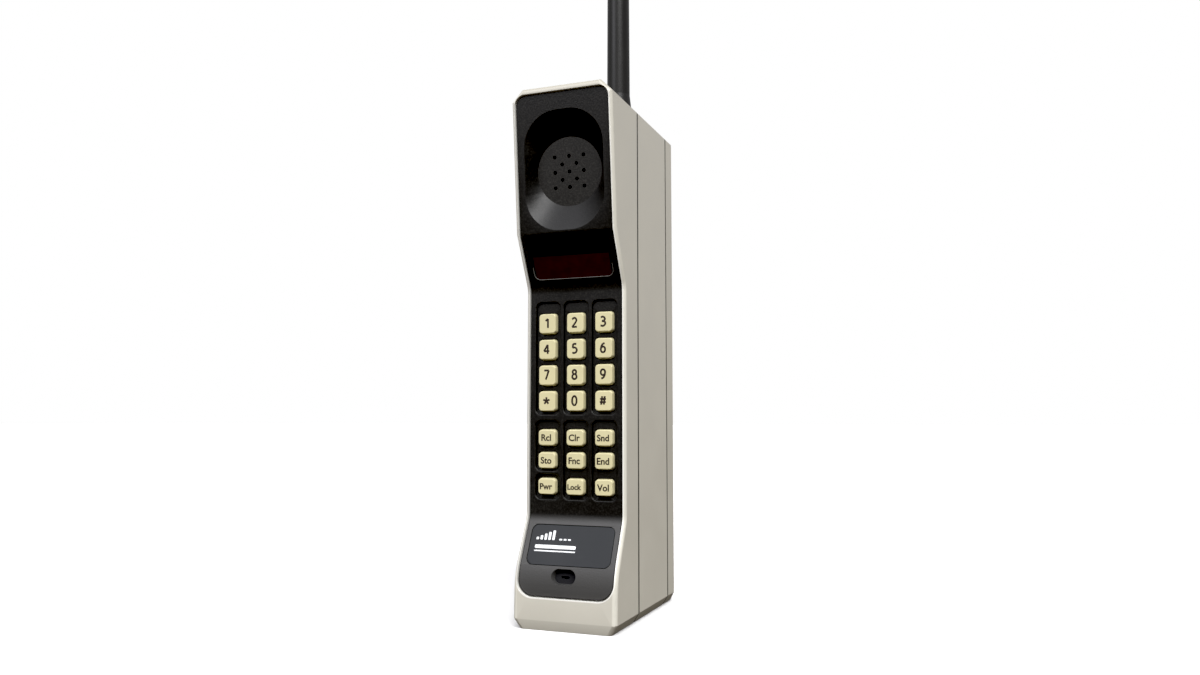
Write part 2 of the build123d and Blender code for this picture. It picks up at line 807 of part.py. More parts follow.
with BuildPart() as keypad_board:
    box_between(
        (-WELL_HALF_W, KEYPAD_BOARD_Y, WELL_Z[0]),
        (WELL_HALF_W, KEYPAD_BOARD_Y + BOARD_T, WELL_Z[1]),
    )
save(keypad_board.part, "keypad_board")

# Label plate and mouthpiece
with BuildPart() as label_plate:
    with BuildSketch(label_plane.offset(-LABEL_POCKET)):
        RectangleRounded(LABEL_W, LABEL_H, LABEL_R)
    extrude(amount=LABEL_T)
save(label_plate.part, "label_plate")

with BuildPart() as mic_boot:
    with BuildSketch(mic_plane.offset(-MIC_SEAT_BACK)):
        Circle(BOOT_D / 2)
    extrude(amount=-BOOT_LIP_T - MIC_T)
    with BuildSketch(mic_plane.offset(-MIC_SEAT_BACK)):
        SlotOverall(*BOOT_SLOT)
    extrude(amount=-BOOT_LIP_T, mode=Mode.SUBTRACT)
    with BuildSketch(mic_plane.offset(-MIC_SEAT_BACK - BOOT_LIP_T)):
        Circle(MIC_D / 2)
    extrude(amount=-MIC_T, mode=Mode.SUBTRACT)
save(mic_boot.part, "mic_boot")

with BuildPart() as mic_capsule:
    with BuildSketch(mic_plane.offset(-MIC_SEAT_BACK - BOOT_LIP_T)):
        Circle(MIC_D / 2)
    extrude(amount=-MIC_T)
    with BuildSketch(mic_plane.offset(-MIC_SEAT_BACK - BOOT_LIP_T)):
        Circle(MIC_HOLE_D / 2)
    extrude(amount=-MIC_HOLE_D, mode=Mode.SUBTRACT)
save(mic_capsule.part, "mic_capsule")

# Boards and modules in the rear shell
with BuildPart() as logic_board:
    box_between(
        (-INNER_BOARD_HALF_W, LOGIC_Y, INNER_BOARD_Z[0]),
        (INNER_BOARD_HALF_W, LOGIC_Y + INNER_BOARD_T, INNER_BOARD_Z[1]),
    )
    with Locations(*[(x, LOGIC_Y, z) for x in (-CHIP_X, CHIP_X) for z in CHIP_Z]):
        Box(*CHIP_SIZE, align=(Align.CENTER, Align.MAX, Align.CENTER))
save(logic_board.part, "logic_board")

with BuildPart() as ringer:
    with BuildSketch(at_y(LOGIC_Y)):
        with Locations((0, RINGER_Z)):
            Circle(RINGER_D / 2)
    extrude(amount=RINGER_T)
    with BuildSketch(at_y(LOGIC_Y - RINGER_T)):
        with Locations((0, RINGER_Z)):
            Circle(RINGER_HOLE_D / 2)
    extrude(amount=-RINGER_HOLE_DEPTH, mode=Mode.SUBTRACT)
save(ringer.part, "ringer")

with BuildPart() as rf_board:
    box_between(
        (-INNER_BOARD_HALF_W, RF_Y, INNER_BOARD_Z[0]),
        (INNER_BOARD_HALF_W, RF_Y + INNER_BOARD_T, INNER_BOARD_Z[1]),
    )
save(rf_board.part, "rf_board")

with BuildPart() as rf_shield:
    box_between(
        (-SHIELD_HALF_W, RF_Y - SHIELD_D, SHIELD_Z[0]), (SHIELD_HALF_W, RF_Y, SHIELD_Z[1])
    )
    box_between(
        (-SHIELD_HALF_W + SHIELD_T, RF_Y - SHIELD_D + SHIELD_T, SHIELD_Z[0] + SHIELD_T),
        (SHIELD_HALF_W - SHIELD_T, RF_Y, SHIELD_Z[1] - SHIELD_T),
        Mode.SUBTRACT,
    )
save(rf_shield.part, "rf_shield")

with BuildPart() as duplexer:
    box_between(
        (-SHIELD_HALF_W, RF_Y - DUPLEXER_D, DUPLEXER_Z[0]),
        (SHIELD_HALF_W, RF_Y, DUPLEXER_Z[1]),
    )
    with BuildSketch(at_y(RF_Y - DUPLEXER_D)):
        with Locations((0, sum(DUPLEXER_Z) / 2)):
            with GridLocations(RESONATOR_PITCH, RESONATOR_PITCH, 3, 2):
                Circle(RESONATOR_D / 2)
    extrude(amount=RESONATOR_OUT)
save(duplexer.part, "duplexer")

with BuildPart() as heat_sink:
    sink_y = RF_Y + INNER_BOARD_T
    box_between(
        (-SHIELD_HALF_W, sink_y, SINK_Z[0]), (SHIELD_HALF_W, sink_y + SINK_BASE, SINK_Z[1])
    )
    with Locations((0, sink_y + SINK_D / 2, sum(SINK_Z) / 2)):
        with GridLocations(FIN_PITCH, 0, FIN_COUNT, 1):
            Box(FIN_T, SINK_D, SINK_Z[1] - SINK_Z[0])
save(heat_sink.part, "heat_sink")

# Antenna and its socket in the top deck
with BuildPart() as antenna_socket:
    with BuildSketch(Plane.XY.offset(SOCKET_FOOT_Z)):
        with Locations(ANTENNA):
            Circle(SOCKET_D / 2)
    extrude(amount=BODY_H - SOCKET_FOOT_Z)
    with BuildSketch(Plane.XY.offset(CEILING_Z)):
        with Locations(ANTENNA):
            Circle(SOCKET_FLANGE_D / 2)
    extrude(amount=-SOCKET_FLANGE_T)
    with BuildSketch(Plane.XY.offset(SOCKET_FOOT_Z)):
        with Locations(ANTENNA):
            Circle(STUD_D / 2 + FIT_GAP)
    extrude(amount=BODY_H - SOCKET_FOOT_Z, mode=Mode.SUBTRACT)
save(antenna_socket.part, "antenna_socket")

with BuildPart() as antenna_stud:
    with BuildSketch(Plane.XY.offset(STUD_Z[0])):
        with Locations(ANTENNA):
            Circle(STUD_D / 2)
    extrude(amount=STUD_Z[1] - STUD_Z[0])
    with BuildSketch(Plane.XY.offset(BODY_H)):
        with Locations(ANTENNA):
            Circle(STUD_COLLAR_D / 2)
    extrude(amount=STUD_COLLAR_T)
save(antenna_stud.part, "antenna_stud")

with BuildPart() as antenna_whip:
    with BuildSketch(Plane.XZ.offset(-ANTENNA[1])) as half_whip:
        with BuildLine():
            Polyline(
                (ANTENNA[0], BODY_H),
                (ANTENNA[0] + WHIP_FOOT_D / 2, BODY_H),
                (ANTENNA[0] + WHIP_D / 2, WHIP_FOOT_Z),
                (ANTENNA[0] + WHIP_TIP_D / 2, OVERALL_H),
                (ANTENNA[0], OVERALL_H),
                close=True,
            )
        make_face()
        tip = (ANTENNA[0] + WHIP_TIP_D / 2, OVERALL_H, 0)
        fillet(half_whip.vertices().sort_by_distance(tip)[0], WHIP_TIP_R)
    revolve(axis=Axis((*ANTENNA, 0), (0, 0, 1)))
    with BuildSketch(Plane.XY.offset(BODY_H)):
        with Locations(ANTENNA):
            Circle(STUD_D / 2 + FIT_GAP)
    extrude(amount=STUD_Z[1] - BODY_H, mode=Mode.SUBTRACT)
    with BuildSketch(Plane.XY.offset(BODY_H)):
        with Locations(ANTENNA):
            Circle(STUD_COLLAR_D / 2 + FIT_GAP)
    extrude(amount=STUD_COLLAR_T, mode=Mode.SUBTRACT)
save(antenna_whip.part, "antenna_whip")

# Accessory connector in the base
mouth_top_z = CONNECTOR_UP + CONNECTOR_MOUTH
with BuildPart() as base_connector:
    with Locations((0, CONNECTOR_Y, CONNECTOR_UP)):
        Box(*CONNECTOR, CONNECTOR_H, align=(Align.CENTER, Align.CENTER, Align.MIN))
    with Locations((0, CONNECTOR_Y, FLOOR_Z)):
        Box(
            CONNECTOR[0] + 2 * CONNECTOR_LIP,
            CONNECTOR[1] + 2 * CONNECTOR_LIP,
            CONNECTOR_LIP,
            align=(Align.CENTER, Align.CENTER, Align.MIN),
        )
    with Locations((0, CONNECTOR_Y, CONNECTOR_UP)):
        Box(
            CONNECTOR[0] - 2 * CONNECTOR_LIP,
            CONNECTOR[1] - 2 * CONNECTOR_LIP,
            CONNECTOR_MOUTH,
            align=(Align.CENTER, Align.CENTER, Align.MIN),
            mode=Mode.SUBTRACT,
        )
save(base_connector.part, "base_connector")

with BuildPart() as connector_pins:
    with BuildSketch(Plane.XY.offset(mouth_top_z)):
        with Locations((0, CONNECTOR_Y)):
            with GridLocations(PIN_PITCH, 0, PIN_COUNT, 1):
                Circle(PIN_D / 2)
    extrude(amount=-PIN_L)
save(connector_pins.part, "connector_pins")

# Back plate, rails and spring contacts that carry the battery pack
with BuildPart() as back_plate:
    add(hollow)
    box_between((-SIDE, PLATE_Y, 0), (SIDE, CHANNEL_Y, BODY_H), Mode.INTERSECT)
save(back_plate.part, "back_plate")

with BuildPart() as pack_rails:
    add(hollow)
    box_between((-SIDE, CHANNEL_Y, 0), (SIDE, PACK_SEAM_Y, BODY_H), Mode.INTERSECT)
    add(dovetail(0, 0, BODY_H), mode=Mode.SUBTRACT)
save(pack_rails.part, "pack_rails")

contact_top_z = FLOOR_Z + CONTACT_BLOCK_H
contact_y = (CHANNEL_Y + PACK_SEAM_Y) / 2
with BuildPart() as contact_block:
    box_between(
        (-CONTACT_BLOCK_HALF_W, CHANNEL_Y, FLOOR_Z),
        (CONTACT_BLOCK_HALF_W, PACK_SEAM_Y, contact_top_z),
    )
save(contact_block.part, "contact_block")

with BuildPart() as contact_springs:
    with BuildSketch(at_y(contact_y + CONTACT_D / 2)):
        for x in CONTACT_X:
            with Locations((x, contact_top_z + CONTACT_SPRING_UP / 2)):
                Rectangle(CONTACT_W, CONTACT_SPRING_UP)
            inner_up = CONTACT_SPRING_UP - CONTACT_SPRING_T
            with Locations((x, contact_top_z + inner_up / 2)):
                Rectangle(
                    CONTACT_W - 2 * CONTACT_SPRING_T, inner_up, mode=Mode.SUBTRACT
                )
    extrude(amount=CONTACT_D)
save(contact_springs.part, "contact_springs")

# Battery pack: outer cover, tray with the sliding keel, cells, straps and pads
cover_hollow = body_block(PACK_WALL, PACK_WALL)
cover_in_y = BACK - PACK_WALL
window_low_z = LATCH_WINDOW_Z - LATCH_WINDOW[1] / 2
window_high_z = LATCH_WINDOW_Z + LATCH_WINDOW[1] / 2
plate_low_z = window_low_z - LATCH_OVERLAP
plate_high_z = window_high_z + LATCH_TRAVEL + LATCH_OVERLAP
plate_out_y = cover_in_y - LATCH_GAP
plate_in_y = plate_out_y - LATCH_PLATE_T
guide_in_x = LATCH_PLATE_W / 2 + LATCH_GAP
shelf_top_z = SHELF_Z + SHELF_T
with BuildPart() as battery_cover:
    add(body_block())
    box_between((-SIDE, TRAY_Y, 0), (SIDE, BACK, BODY_H), Mode.INTERSECT)
    chamfer(battery_cover.faces().sort_by(Axis.Y)[0].edges(), PACK_BEVEL)
    add(cover_hollow, mode=Mode.SUBTRACT)
    with BuildSketch(at_y(BACK)):
        with Locations((0, LATCH_WINDOW_Z)):
            RectangleRounded(*LATCH_WINDOW, KEY_R)
    extrude(amount=PACK_WALL, mode=Mode.SUBTRACT)
    for side in (-1, 1):
        near, far = sorted((side * guide_in_x, side * (guide_in_x + GUIDE_T)))
        box_between(
            (near, cover_in_y - GUIDE_D, shelf_top_z), (far, cover_in_y, plate_high_z)
        )
        near, far = sorted((side * (guide_in_x - GUIDE_LIP), side * guide_in_x))
        box_between(
            (near, cover_in_y - GUIDE_D, shelf_top_z),
            (far, plate_in_y - LATCH_GAP, plate_high_z),
        )
    shelf_x = guide_in_x + GUIDE_T
    box_between(
        (-shelf_x, cover_in_y - GUIDE_D, SHELF_Z), (shelf_x, cover_in_y, shelf_top_z)
    )
save(battery_cover.part, "battery_cover")

with BuildPart() as battery_tray:
    add(cover_hollow)
    box_between((-SIDE, TRAY_Y, 0), (SIDE, TRAY_Y + TRAY_T, BODY_H), Mode.INTERSECT)
    add(dovetail(KEEL_GAP, KEEL_Z, BODY_H))
    box_between(
        (-KEEL_IN_X, KEEL_Y + KEEL_WALL, KEEL_Z + KEEL_FLOOR),
        (KEEL_IN_X, TRAY_Y + TRAY_T, BODY_H - FRONT_WALL),
        Mode.SUBTRACT,
    )
    with Locations(*[(x, contact_y, KEEL_Z) for x in CONTACT_X]):
        Box(*PAD_SIZE, align=(Align.CENTER, Align.CENTER, Align.MIN), mode=Mode.SUBTRACT)
save(battery_tray.part, "battery_tray")

with BuildPart() as pack_contacts:
    with Locations(*[(x, contact_y, KEEL_Z) for x in CONTACT_X]):
        Box(*PAD_SIZE, align=(Align.CENTER, Align.CENTER, Align.MIN))
save(pack_contacts.part, "pack_contacts")

cell_y = KEEL_Y + KEEL_WALL + CELL_D / 2
cell_pitch = CELL_L + CELL_NUB_H + STRAP_T
with BuildPart() as battery_cells:
    for x in (-CELL_X, CELL_X):
        for row in range(CELL_ROWS):
            foot_z = CELL_Z + row * cell_pitch
            with BuildSketch(Plane.XY.offset(foot_z)):
                with Locations((x, cell_y)):
                    Circle(CELL_D / 2)
            extrude(amount=CELL_L)
            with BuildSketch(Plane.XY.offset(foot_z + CELL_L)):
                with Locations((x, cell_y)):
                    Circle(CELL_NUB_D / 2)
            extrude(amount=CELL_NUB_H)
save(battery_cells.part, "battery_cells")

with BuildPart() as cell_straps:
    for row in range(CELL_ROWS + 1):
        with BuildSketch(Plane.XY.offset(CELL_Z + row * cell_pitch - STRAP_T)):
            with Locations((-CELL_X, cell_y), (CELL_X, cell_y)):
                Circle(STRAP_D / 2)
            if row in (0, CELL_ROWS):
                with Locations((0, cell_y)):
                    Rectangle(2 * CELL_X, STRAP_W)
        extrude(amount=STRAP_T)
save(cell_straps.part, "cell_straps")

# Sliding latch on the pack's back, and its return spring
with BuildPart() as battery_latch:
    box_between(
        (-LATCH_PLATE_W / 2, plate_in_y, plate_low_z),
        (LATCH_PLATE_W / 2, plate_out_y, plate_high_z),
    )
    grip_z = window_high_z - LATCH_SLACK - LATCH_GRIP[1] / 2
    with BuildSketch(at_y(plate_out_y)):
        with Locations((0, grip_z)):
            RectangleRounded(*LATCH_GRIP, KEY_R - LATCH_SLACK)
    extrude(amount=plate_out_y - BACK + LATCH_RIB_OUT)
    with BuildSketch(at_y(BACK - LATCH_RIB_OUT)):
        with Locations((0, grip_z)):
            with GridLocations(0, LATCH_RIB_PITCH, 1, LATCH_RIB_COUNT):
                Rectangle(LATCH_GRIP[0] - 2 * KEY_R, LATCH_RIB_PITCH / 2)
    extrude(amount=-LATCH_RIB_OUT)
save(battery_latch.part, "battery_latch")

coil_h = plate_low_z - shelf_top_z - 2 * SPRING_WIRE_R - 2 * SPRING_END_GAP
coil_foot_z = shelf_top_z + SPRING_WIRE_R + SPRING_END_GAP
with BuildPart() as latch_spring:
    with BuildLine() as coil:
        Helix(
            pitch=coil_h / SPRING_TURNS,
            height=coil_h,
            radius=SPRING_R,
            center=(0, plate_in_y, coil_foot_z),
        )
    with BuildSketch(Plane(origin=coil.line @ 0, z_dir=coil.line % 0)):
        Circle(SPRING_WIRE_R)
    sweep()
save(latch_spring.part, "latch_spring")
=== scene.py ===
import json
import math

import bmesh
import bpy
from mathutils import Matrix, Vector


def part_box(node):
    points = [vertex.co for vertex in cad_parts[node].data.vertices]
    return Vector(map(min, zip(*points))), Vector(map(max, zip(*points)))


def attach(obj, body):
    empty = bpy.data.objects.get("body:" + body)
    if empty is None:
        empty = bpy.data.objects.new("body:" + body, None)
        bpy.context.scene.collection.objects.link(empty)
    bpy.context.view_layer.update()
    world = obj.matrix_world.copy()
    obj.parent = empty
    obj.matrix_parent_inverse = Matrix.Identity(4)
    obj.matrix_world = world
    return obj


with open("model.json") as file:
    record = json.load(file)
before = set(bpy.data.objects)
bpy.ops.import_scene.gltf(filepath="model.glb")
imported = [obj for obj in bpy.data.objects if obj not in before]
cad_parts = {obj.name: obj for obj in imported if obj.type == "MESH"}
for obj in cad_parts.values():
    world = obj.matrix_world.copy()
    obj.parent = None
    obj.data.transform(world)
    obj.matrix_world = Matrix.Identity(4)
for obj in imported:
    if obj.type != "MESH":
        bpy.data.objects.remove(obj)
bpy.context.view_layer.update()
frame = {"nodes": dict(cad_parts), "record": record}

nodes = frame["nodes"]
slot_of = {part["node"]: part["material_slot"] for part in frame["record"]["subparts"]}
MM = 0.001


# ---- node materials -------------------------------------------------------
def material(name):
    """A new Principled material: (material, node tree, shader)."""
    mat = bpy.data.materials.new(name)
    mat.use_nodes = True
    return mat, mat.node_tree, mat.node_tree.nodes["Principled BSDF"]


def coords(tree):
    """Object coordinates, which for every CAD node are the row frame in metres."""
    return tree.nodes.new("ShaderNodeTexCoord").outputs["Object"]


def split(tree, vector):
    s = tree.nodes.new("ShaderNodeSeparateXYZ")
    tree.links.new(vector, s.inputs["Vector"])
    return s.outputs


def noise(tree, where, scale, detail=2.0, rough=0.5):
    n = tree.nodes.new("ShaderNodeTexNoise")
    n.inputs["Scale"].default_value = scale
    n.inputs["Detail"].default_value = detail
    n.inputs["Roughness"].default_value = rough
    tree.links.new(where, n.inputs["Vector"])
    return n.outputs["Fac"]


def remap(tree, value, low, high, to_low=0.0, to_high=1.0):
    m = tree.nodes.new("ShaderNodeMapRange")
    m.clamp = True
    for key, x in zip(("From Min", "From Max", "To Min", "To Max"), (low, high, to_low, to_high)):
        m.inputs[key].default_value = x
    tree.links.new(value, m.inputs["Value"])
    return m.outputs["Result"]


def maths(tree, kind, a, b=None):
    m = tree.nodes.new("ShaderNodeMath")
    m.operation = kind
    for i, x in enumerate((a, b)):
        if x is None:
            continue
        if isinstance(x, (int, float)):
            m.inputs[i].default_value = x
        else:
            tree.links.new(x, m.inputs[i])
    return m.outputs[0]


def mix(tree, factor, a, b, blend="MIX"):
    """Colours a and b mixed by a factor; each colour is a tuple or a socket."""
    m = tree.nodes.new("ShaderNodeMix")
    m.data_type = "RGBA"
    m.blend_type = blend
    if isinstance(factor, (int, float)):
        m.inputs["Factor"].default_value = factor
    else:
        tree.links.new(factor, m.inputs["Factor"])
    for key, x in (("A", a), ("B", b)):
        socket = [s for s in m.inputs if s.name == key and s.type == "RGBA"][0]
        if isinstance(x, tuple):
            socket.default_value = (*x, 1.0)
        else:
            tree.links.new(x, socket)
    return [s for s in m.outputs if s.type == "RGBA"][0]


def bump(tree, shader, height, strength, distance):
    b = tree.nodes.new("ShaderNodeBump")
    b.inputs["Strength"].default_value = strength
    b.inputs["Distance"].default_value = distance
    tree.links.new(height, b.inputs["Height"])
    tree.links.new(b.outputs["Normal"], shader.inputs["Normal"])


def shade(colour, amount):
    return tuple(min(1.0, c * amount) for c in colour)


def grained(
    name, colour, rough, grain=2600.0, depth=0.00004, strength=0.35, mottle=0.06, speck=0.0, spec=0.5, painted_light=()
):
    """Moulded plastic or rubber: fine spark-eroded grain, faint mottling and soft rub marks.

    Speck lightens the dots of the grain, by that many times the tone.

    Each entry of the last argument is (mask, colour), a painted highlight or painted shade, where mask(tree,
    where) gives how much of that colour covers the tone.
    """
    mat, tree, shader = material(name)
    where = coords(tree)
    cloud = remap(tree, noise(tree, where, 38.0, 4.0, 0.6), 0.35, 0.65)
    tone = mix(tree, cloud, shade(colour, 1 - mottle), shade(colour, 1 + mottle))
    fine = noise(tree, where, grain, 3.0, 0.6)
    if speck:
        dots = remap(tree, fine, 0.45, 0.70)
        tone = mix(tree, dots, tone, mix(tree, 1.0, tone, (1 + speck,) * 3, "MULTIPLY"))
    # Lay the painted highlights and painted shade over the tone.
    for mask, painted_tone in painted_light:
        tone = mix(tree, mask(tree, where), tone, painted_tone)
    rubbed = remap(tree, noise(tree, where, 90.0, 5.0, 0.7), 0.58, 0.75)
    tree.links.new(tone, shader.inputs["Base Color"])
    uneven = remap(tree, cloud, 0, 1, rough - 0.04, rough + 0.04)
    smoother = maths(tree, "MULTIPLY", rubbed, -0.06)
    tree.links.new(maths(tree, "ADD", uneven, smoother), shader.inputs["Roughness"])
    shader.inputs["Specular IOR Level"].default_value = spec
    bump(tree, shader, fine, strength, depth)
    return mat


def metal(name, colour, rough, along="Z", scratch=900.0):
    """Sheet or turned metal with a drawn grain along one axis."""
    mat, tree, shader = material(name)
    shader.inputs["Metallic"].default_value = 1.0
    where = coords(tree)
    squeeze = tree.nodes.new("ShaderNodeMapping")
    squeeze.inputs["Scale"].default_value = tuple(0.04 if axis == along else 1.0 for axis in "XYZ")
    tree.links.new(where, squeeze.inputs["Vector"])
    lines = noise(tree, squeeze.outputs["Vector"], scratch, 3.0, 0.6)
    stain = remap(tree, noise(tree, where, 120.0, 4.0, 0.6), 0.4, 0.7)
    tree.links.new(mix(tree, stain, colour, shade(colour, 0.82)), shader.inputs["Base Color"])
    tree.links.new(remap(tree, lines, 0.3, 0.7, rough - 0.08, rough + 0.1), shader.inputs["Roughness"])
    bump(tree, shader, lines, 0.3, 0.00002)
    return mat


IVORY = (0.60, 0.577, 0.505)
# Painted shade for the bevel round the base.
IVORY_PAINTED_BASE_SHADE = shade(IVORY, 0.84)
# Painted shade for the faces that look up at the top.
IVORY_PAINTED_TOP_SHADE = (0.44, 0.415, 0.35)
# Painted highlight for the front rim.
IVORY_PAINTED_RIM_HIGHLIGHT = (0.72, 0.70, 0.62)
# Painted highlight for the thin lip round the panel.
IVORY_PAINTED_LIP_HIGHLIGHT = (0.86, 0.85, 0.80)
BLACK = (0.0048, 0.0045, 0.0040)
# Painted sheen for the lower slope of the black panel.
PAINTED_SLOPE_SHEEN = (0.058, 0.057, 0.056)
# Painted light for the lower wall of the earpiece's funnel.
PAINTED_DISH_LIGHT = (0.026, 0.026, 0.027)
# Painted shade for the seams at the front edges of the rear shell and the pack, and how much of it covers.
PAINTED_SEAM_SHADE = (0.016, 0.014, 0.011)
SEAM_SHADE_COVER = 0.9
PANEL_CORNER = 6.5 * MM  # radius of the front panel's lower corners


# ---- painted light masks: how much of a painted highlight or painted shade covers a point ---
def facing(tree):
    """The surface normal's x, y and z in the row frame."""
    return split(tree, tree.nodes.new("ShaderNodeNewGeometry").outputs["Normal"])


def front_edge_painted_shade(name, thinning, gone):
    """A mask for painted shade in the seam on a node's front edge, thinning from one distance behind it to
    another.
    """
    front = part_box(name)[0].y

    def mask(tree, where):
        return remap(tree, split(tree, where)[1], front + thinning, front + gone, SEAM_SHADE_COVER, 0.0)

    return mask


def painted_rim_highlight(tree, where):
    """Painted highlight on the front rim: faces that look forward on either side of the black panel."""
    forward = maths(tree, "MULTIPLY", facing(tree)[1], -1)
    beside = remap(tree, maths(tree, "ABSOLUTE", split(tree, where)[0]), 20.2 * MM, 20.6 * MM)
    return maths(tree, "MULTIPLY", remap(tree, forward, 0.12, 0.45), beside)


def past_panel(tree, where):
    """How far a point lies outside the front panel's sides, foot and lower corners, seen from the front."""
    low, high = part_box("front_panel")
    x, _, z = split(tree, where)
    beside = maths(tree, "SUBTRACT", maths(tree, "ABSOLUTE", x), high.x - PANEL_CORNER)
    below = maths(tree, "SUBTRACT", low.z + PANEL_CORNER, z)
    squares = [maths(tree, "POWER", maths(tree, "MAXIMUM", side, 0.0), 2.0) for side in (beside, below)]
    rounded = maths(tree, "SQRT", maths(tree, "ADD", *squares))
    straight = maths(tree, "MINIMUM", maths(tree, "MAXIMUM", beside, below), 0.0)
    return maths(tree, "SUBTRACT", maths(tree, "ADD", rounded, straight), PANEL_CORNER)


def painted_slope_sheen(tree, where):
    """Painted sheen on the slope below the keypad: the black plastic painted paler up to its own edge."""
    down = remap(tree, split(tree, where)[2], 44.6 * MM, 41.4 * MM)
    short_of_edge = remap(tree, past_panel(tree, where), -0.35 * MM, -0.20 * MM, 1.0, 0.0)
    return maths(tree, "MULTIPLY", down, short_of_edge)


def painted_dish_light(tree, where):
    """Painted light on the lower wall of the earpiece's funnel, which looks up."""
    upward = remap(tree, facing(tree)[2], 0.15, 0.6)
    return maths(tree, "MULTIPLY", upward, remap(tree, split(tree, where)[2], 158.0 * MM, 159.0 * MM))


def painted_lip_highlight(tree, where):
    """Painted highlight on the front shell's thin lip round the black panel, palest of all."""
    gap = past_panel(tree, where)
    near = remap(tree, gap, 0.75 * MM, 0.95 * MM, 1.0, 0.0)
    return maths(tree, "MULTIPLY", near, remap(tree, gap, 0.2 * MM, 0.3 * MM))


def painted_top_shade(tree, where):
    """Painted shade on the faces that look up at the top of the body."""
    upward = remap(tree, facing(tree)[2], 0.25, 0.65)
    return maths(tree, "MULTIPLY", upward, remap(tree, split(tree, where)[2], 190.0 * MM, 200.0 * MM))


def painted_base_shade(tree, where):
    """Painted shade on the bevel round the base, a little darker than the sides."""
    return remap(tree, split(tree, where)[2], 3.7 * MM, 4.05 * MM, 1.0, 0.0)


# ---- one finish for each material slot of the part ------------------------
# Painted highlights on the rim and lip, and painted shade on the base and top, for the front shell
front_painted_light_and_shade = [
    (painted_rim_highlight, IVORY_PAINTED_RIM_HIGHLIGHT), (painted_lip_highlight, IVORY_PAINTED_LIP_HIGHLIGHT), (painted_base_shade, IVORY_PAINTED_BASE_SHADE), (painted_top_shade, IVORY_PAINTED_TOP_SHADE),
]
# Painted shade on the base and in the seams, for the rear shell and the pack
rear_painted_shade = [(painted_base_shade, IVORY_PAINTED_BASE_SHADE), (front_edge_painted_shade("rear_housing", 0.40 * MM, 0.55 * MM), PAINTED_SEAM_SHADE)]
pack_painted_shade = [(painted_base_shade, IVORY_PAINTED_BASE_SHADE), (front_edge_painted_shade("battery_cover", 0.40 * MM, 0.60 * MM), PAINTED_SEAM_SHADE)]
# Painted sheen on the lower slope and painted light in the earpiece funnel, for the black panel
panel_painted_light = [(painted_slope_sheen, PAINTED_SLOPE_SHEEN), (painted_dish_light, PAINTED_DISH_LIGHT)]
finish = {
    "shell": grained("ivory_shell", IVORY, 0.42, 2200.0, 0.00003, 0.25, 0.02, painted_light=front_painted_light_and_shade),
    "pack_shell": grained(
        "ivory_pack", shade(IVORY, 0.95), 0.44, 2200.0, 0.00003, 0.25, 0.025, painted_light=pack_painted_shade
    ),
    "black_panel": grained(
        "black_panel", BLACK, 0.40, 1600.0, 0.00008, 0.7, 0.10, 3.0, 0.34, painted_light=panel_painted_light
    ),
    "key": grained("cream_key", (0.69, 0.635, 0.385), 0.38, 1800.0, 0.00001, 0.12, 0.03),
    "label": grained("blue_grey_plate", (0.024, 0.026, 0.029), 0.45, 1500.0, 0.00001, 0.15, 0.06, 0.0, 0.25),
    "black_rubber": grained(
        "black_rubber", (0.008, 0.0078, 0.007), 0.40, 1700.0, 0.00003, 0.3, 0.10, spec=0.36
    ),
    "mat_rubber": grained("grey_rubber", (0.16, 0.16, 0.155), 0.6, 1400.0, 0.00003, 0.3, 0.08),
    "board": grained("glass_fibre_board", (0.02, 0.11, 0.05), 0.35, 900.0, 0.00002, 0.3, 0.12),
    "lamp_module": grained("lamp_module", (0.10, 0.008, 0.008), 0.15, 900.0, 0.00001, 0.1, 0.08),
    "tin": metal("tinned_steel", (0.62, 0.62, 0.60), 0.35),
    "alloy": metal("alloy_sheet", (0.70, 0.70, 0.69), 0.4, "X"),
    "silver_block": metal("plated_block", (0.66, 0.66, 0.64), 0.3),
    "buzzer": grained("buzzer_case", (0.02, 0.02, 0.02), 0.4),
    "brass": metal("brass", (0.72, 0.52, 0.22), 0.28),
    "steel": metal("zinc_steel", (0.55, 0.55, 0.54), 0.34),
    "rail": grained("rail_plastic", (0.03, 0.03, 0.03), 0.35),
    "cell": grained("cell_sleeve", (0.03, 0.07, 0.14), 0.3, 900.0, 0.00001, 0.1, 0.08),
}


def lens_material():
    """Dark red acrylic: a red strip low on the window, black round it; the black above the strip is painted
    shadow of the brow.
    """
    mat, tree, shader = material("red_lens")
    where = coords(tree)
    x, _, z = split(tree, where)
    low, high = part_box("display_lens")
    soft = 0.12 * MM
    foot = low.z + 0.1 * MM
    top = low.z + (high.z - low.z) * 0.50
    side = high.x - 0.8 * MM
    above = remap(tree, z, foot - soft, foot + soft)
    below = remap(tree, z, top + soft, top - soft)
    inside = remap(tree, maths(tree, "ABSOLUTE", x), side + soft, side - soft)
    strip = maths(tree, "MULTIPLY", maths(tree, "MULTIPLY", above, below), inside)
    haze = remap(tree, noise(tree, where, 260.0, 4.0), 0.35, 0.7)
    red = mix(tree, haze, (0.027, 0.0110, 0.0105), (0.036, 0.0120, 0.0115))
    # Black round the red strip; above it the black is painted shadow of the brow.
    tree.links.new(mix(tree, strip, (0.010, 0.010, 0.011), red), shader.inputs["Base Color"])
    tree.links.new(remap(tree, haze, 0, 1, 0.08, 0.13), shader.inputs["Roughness"])
    shader.inputs["Specular IOR Level"].default_value = 0.35
    return mat


finish["lens"] = lens_material()


def ink(name, colour, rough):
    """Printed ink: slightly uneven cover over the plastic's grain."""
    mat, tree, shader = material(name)
    where = coords(tree)
    thin = remap(tree, noise(tree, where, 1300.0, 4.0, 0.7), 0.35, 0.7)
    tree.links.new(mix(tree, thin, colour, shade(colour, 1.25)), shader.inputs["Base Color"])
    tree.links.new(remap(tree, thin, 0, 1, rough, rough + 0.12), shader.inputs["Roughness"])
    bump(tree, shader, thin, 0.15, 0.00001)
    return mat


